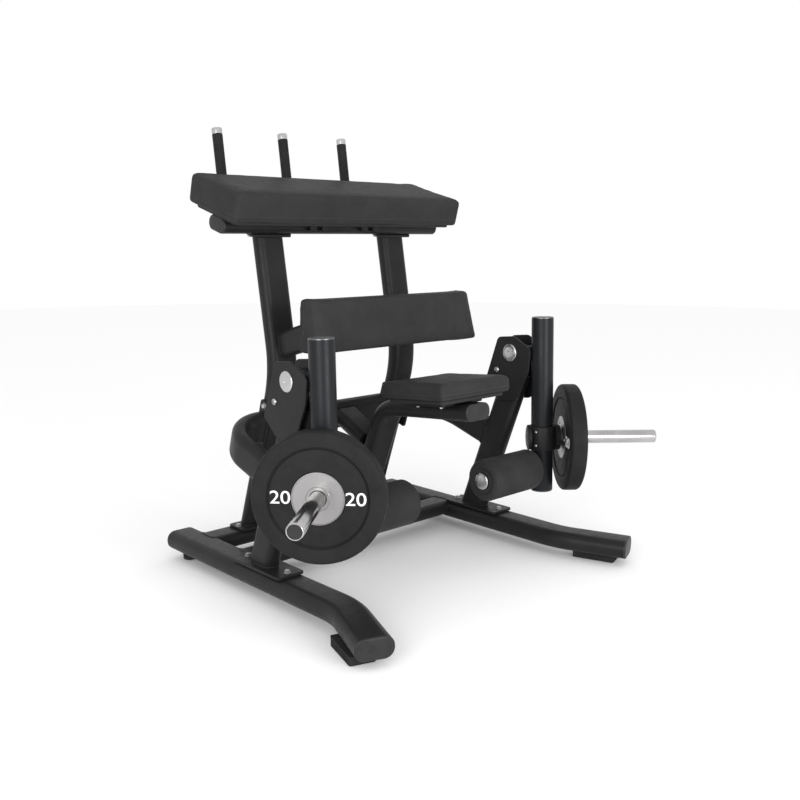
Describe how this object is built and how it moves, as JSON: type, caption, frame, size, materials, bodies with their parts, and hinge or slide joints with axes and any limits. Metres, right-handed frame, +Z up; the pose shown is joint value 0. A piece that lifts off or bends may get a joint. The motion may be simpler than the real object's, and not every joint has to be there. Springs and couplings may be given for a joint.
{
  "type": "plate-loaded kneeling leg curl machine",
  "caption": "Plate-loaded gym machine for kneeling leg curls: a flat-oval tube frame with arm, thigh and knee pads, and separate left and right levers with ankle rollers and weight horns.",
  "frame": {"origin": "on the floor, at the middle of the machine's footprint box", "axes": "+Z up, +Y the way the user faces, +X to the user's right"},
  "size_m": [1.7516, 1.2909, 1.6025],
  "materials": {
    "frame_paint": "satin black powder coat",
    "lever_paint": "gloss graphite paint",
    "pad_cover": "charcoal leatherette over foam",
    "pad_board": "black-stained plywood",
    "foot_rubber": "matt moulded rubber",
    "grip_rubber": "fine-textured rubber sleeve",
    "cap_plastic": "black moulded plastic",
    "plate_rubber": "moulded rubber weight plate",
    "bolt_steel": "turned and brushed steel",
    "horn_chrome": "polished chrome plate",
    "bush_bronze": "oiled bronze bush"
  },
  "bodies": {
    "frame": {"arm_pad": "pad_cover", "arm_pad_board": "pad_board", "thigh_pad": "pad_cover", "thigh_pad_board": "pad_board", "knee_pad": "pad_cover", "knee_pad_board": "pad_board", "seat_column": "frame_paint", "column_brace": "frame_paint", "mid_cross_tube": "frame_paint", "rear_cross_tube": "frame_paint", "front_cross_tube": "frame_paint", "top_crossbar": "frame_paint", "thigh_bar": "frame_paint", "left_handle": "frame_paint", "left_grip": "grip_rubber", "centre_handle": "frame_paint", "centre_grip": "grip_rubber", "right_handle": "frame_paint", "right_grip": "grip_rubber", "left_base_rail": "frame_paint", "left_rail_rear_cap": "cap_plastic", "left_rail_front_cap": "cap_plastic", "left_front_foot": "foot_rubber", "left_rear_foot": "foot_rubber", "left_upright": "frame_paint", "left_side_brace": "frame_paint", "left_pivot_post": "frame_paint", "left_outer_bracket": "frame_paint", "left_inner_bracket": "frame_paint", "left_pivot_shaft": "bolt_steel", "right_base_rail": "frame_paint", "right_rail_rear_cap": "cap_plastic", "right_rail_front_cap": "cap_plastic", "right_front_foot": "foot_rubber", "right_rear_foot": "foot_rubber", "right_upright": "frame_paint", "right_side_brace": "frame_paint", "right_pivot_post": "frame_paint", "right_outer_bracket": "frame_paint", "right_inner_bracket": "frame_paint", "right_pivot_shaft": "bolt_steel"},
    "left_lever": {"left_lever_arm": "lever_paint", "left_pivot_bush": "bush_bronze", "left_lever_tube": "lever_paint", "left_horn_collar": "frame_paint", "left_weight_horn": "horn_chrome", "left_roller_axle": "bolt_steel"},
    "left_roller": {"left_roller": "pad_cover"},
    "left_plate": {"left_weight_plate": "plate_rubber", "left_plate_hub": "bolt_steel"},
    "right_lever": {"right_lever_arm": "lever_paint", "right_pivot_bush": "bush_bronze", "right_lever_tube": "lever_paint", "right_horn_collar": "frame_paint", "right_weight_horn": "horn_chrome", "right_roller_axle": "bolt_steel"},
    "right_roller": {"right_roller": "pad_cover"},
    "right_plate": {"right_weight_plate": "plate_rubber", "right_plate_hub": "bolt_steel"}
  },
  "joints": [
    {"name": "left_curl", "type": "hinge", "parent": "frame", "child": "left_lever", "pos_m": [-0.529, -0.1552, 0.762], "axis": [-1, 0, 0], "range_deg": [0, 105]},
    {"name": "left_roller_spin", "type": "hinge", "parent": "left_lever", "child": "left_roller", "pos_m": [-0.3225, -0.28824, 0.333], "axis": [1, 0, 0], "continuous": true},
    {"name": "left_plate_slide", "type": "slide", "parent": "left_lever", "child": "left_plate", "axis": [-0.7593, -0.6508, 0], "range_m": [0, 0.3]},
    {"name": "right_curl", "type": "hinge", "parent": "frame", "child": "right_lever", "pos_m": [0.529, -0.1552, 0.762], "axis": [-1, 0, 0], "range_deg": [0, 105]},
    {"name": "right_roller_spin", "type": "hinge", "parent": "right_lever", "child": "right_roller", "pos_m": [0.3225, -0.28824, 0.333], "axis": [1, 0, 0], "continuous": true},
    {"name": "right_plate_slide", "type": "slide", "parent": "right_lever", "child": "right_plate", "axis": [0.7593, -0.6508, 0], "range_m": [0, 0.3]}
  ]
}
